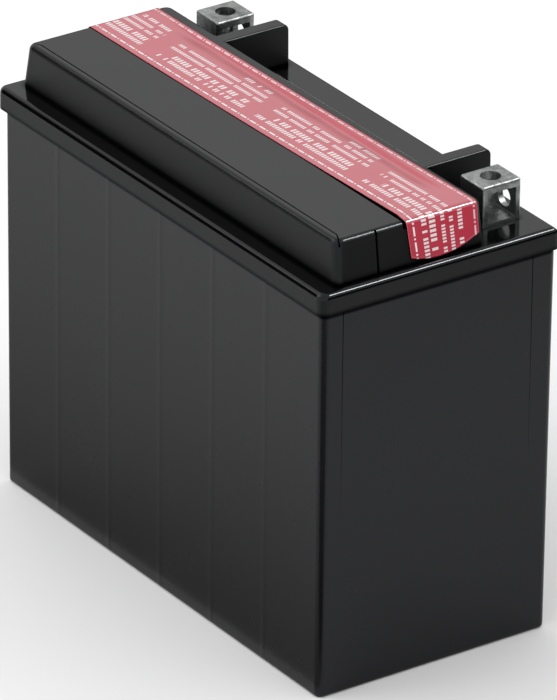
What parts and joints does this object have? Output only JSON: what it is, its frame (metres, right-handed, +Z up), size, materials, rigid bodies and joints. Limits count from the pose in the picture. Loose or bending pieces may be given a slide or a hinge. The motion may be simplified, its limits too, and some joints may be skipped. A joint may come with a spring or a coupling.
{
  "type": "motorcycle battery",
  "caption": "Tall black sealed lead-acid motorcycle battery with a raised filling block, a red sealing film, two fins and hollow bolt terminals.",
  "frame": {"origin": "middle of the base, at the bottom", "axes": "+X along the length, towards the end with the film's pull tab; +Y towards the side with the terminals; +Z up"},
  "size_m": [0.175, 0.087, 0.1498],
  "materials": {
    "case_plastic": "satin black polypropylene",
    "cover_plastic": "satin black polypropylene, a little glossier than the container",
    "filter_disc": "porous, matte",
    "valve_rubber": "matte",
    "seal_rubber": "matte",
    "plug_plastic": "satin grey polypropylene",
    "film": "semi-gloss red film with plain white dashes",
    "terminal_lead": "dull cast lead",
    "strap_lead": "dull cast lead",
    "resin": "glossy potting resin",
    "positive_paste": "matte dark brown plates",
    "negative_paste": "matte grey plates",
    "glass_mat": "white absorbent glass mat"
  },
  "bodies": {
    "root": {"container": "case_plastic", "cover": "cover_plastic", "vent_cover": "cover_plastic", "flame_filter": "filter_disc", "terminal_positive": "terminal_lead", "terminal_negative": "terminal_lead", "terminal_o_rings": "seal_rubber", "terminal_resin": "resin", "positive_plates_cell_1": "positive_paste", "negative_plates_cell_1": "negative_paste", "separators_cell_1": "glass_mat", "positive_strap_cell_1": "strap_lead", "negative_strap_cell_1": "strap_lead", "positive_plates_cell_2": "positive_paste", "negative_plates_cell_2": "negative_paste", "separators_cell_2": "glass_mat", "positive_strap_cell_2": "strap_lead", "negative_strap_cell_2": "strap_lead", "positive_plates_cell_3": "positive_paste", "negative_plates_cell_3": "negative_paste", "separators_cell_3": "glass_mat", "positive_strap_cell_3": "strap_lead", "negative_strap_cell_3": "strap_lead", "positive_plates_cell_4": "positive_paste", "negative_plates_cell_4": "negative_paste", "separators_cell_4": "glass_mat", "positive_strap_cell_4": "strap_lead", "negative_strap_cell_4": "strap_lead", "positive_plates_cell_5": "positive_paste", "negative_plates_cell_5": "negative_paste", "separators_cell_5": "glass_mat", "positive_strap_cell_5": "strap_lead", "negative_strap_cell_5": "strap_lead", "positive_plates_cell_6": "positive_paste", "negative_plates_cell_6": "negative_paste", "separators_cell_6": "glass_mat", "positive_strap_cell_6": "strap_lead", "negative_strap_cell_6": "strap_lead", "intercell_welds": "strap_lead"},
    "plugs": {"plug_strip": "plug_plastic", "plug_seals": "seal_rubber"},
    "film": {"seal_film": "film"},
    "valve_1": {"safety_valve_1": "valve_rubber"},
    "valve_2": {"safety_valve_2": "valve_rubber"},
    "valve_3": {"safety_valve_3": "valve_rubber"},
    "valve_4": {"safety_valve_4": "valve_rubber"},
    "valve_5": {"safety_valve_5": "valve_rubber"},
    "valve_6": {"safety_valve_6": "valve_rubber"}
  },
  "joints": [
    {"name": "plug_strip_pull", "type": "slide", "parent": "root", "child": "plugs", "axis": [0, 0, 1], "range_m": [0, 0.025]},
    {"name": "film_peel", "type": "slide", "parent": "plugs", "child": "film", "axis": [0, 0, 1], "range_m": [0, 0.04]},
    {"name": "valve_1_lift", "type": "slide", "parent": "root", "child": "valve_1", "axis": [0, 0, 1], "range_m": [0, 0.0008], "stiffness_N_per_m": 500, "springref_m": -0.0004},
    {"name": "valve_2_lift", "type": "slide", "parent": "root", "child": "valve_2", "axis": [0, 0, 1], "range_m": [0, 0.0008], "stiffness_N_per_m": 500, "springref_m": -0.0004},
    {"name": "valve_3_lift", "type": "slide", "parent": "root", "child": "valve_3", "axis": [0, 0, 1], "range_m": [0, 0.0008], "stiffness_N_per_m": 500, "springref_m": -0.0004},
    {"name": "valve_4_lift", "type": "slide", "parent": "root", "child": "valve_4", "axis": [0, 0, 1], "range_m": [0, 0.0008], "stiffness_N_per_m": 500, "springref_m": -0.0004},
    {"name": "valve_5_lift", "type": "slide", "parent": "root", "child": "valve_5", "axis": [0, 0, 1], "range_m": [0, 0.0008], "stiffness_N_per_m": 500, "springref_m": -0.0004},
    {"name": "valve_6_lift", "type": "slide", "parent": "root", "child": "valve_6", "axis": [0, 0, 1], "range_m": [0, 0.0008], "stiffness_N_per_m": 500, "springref_m": -0.0004}
  ]
}
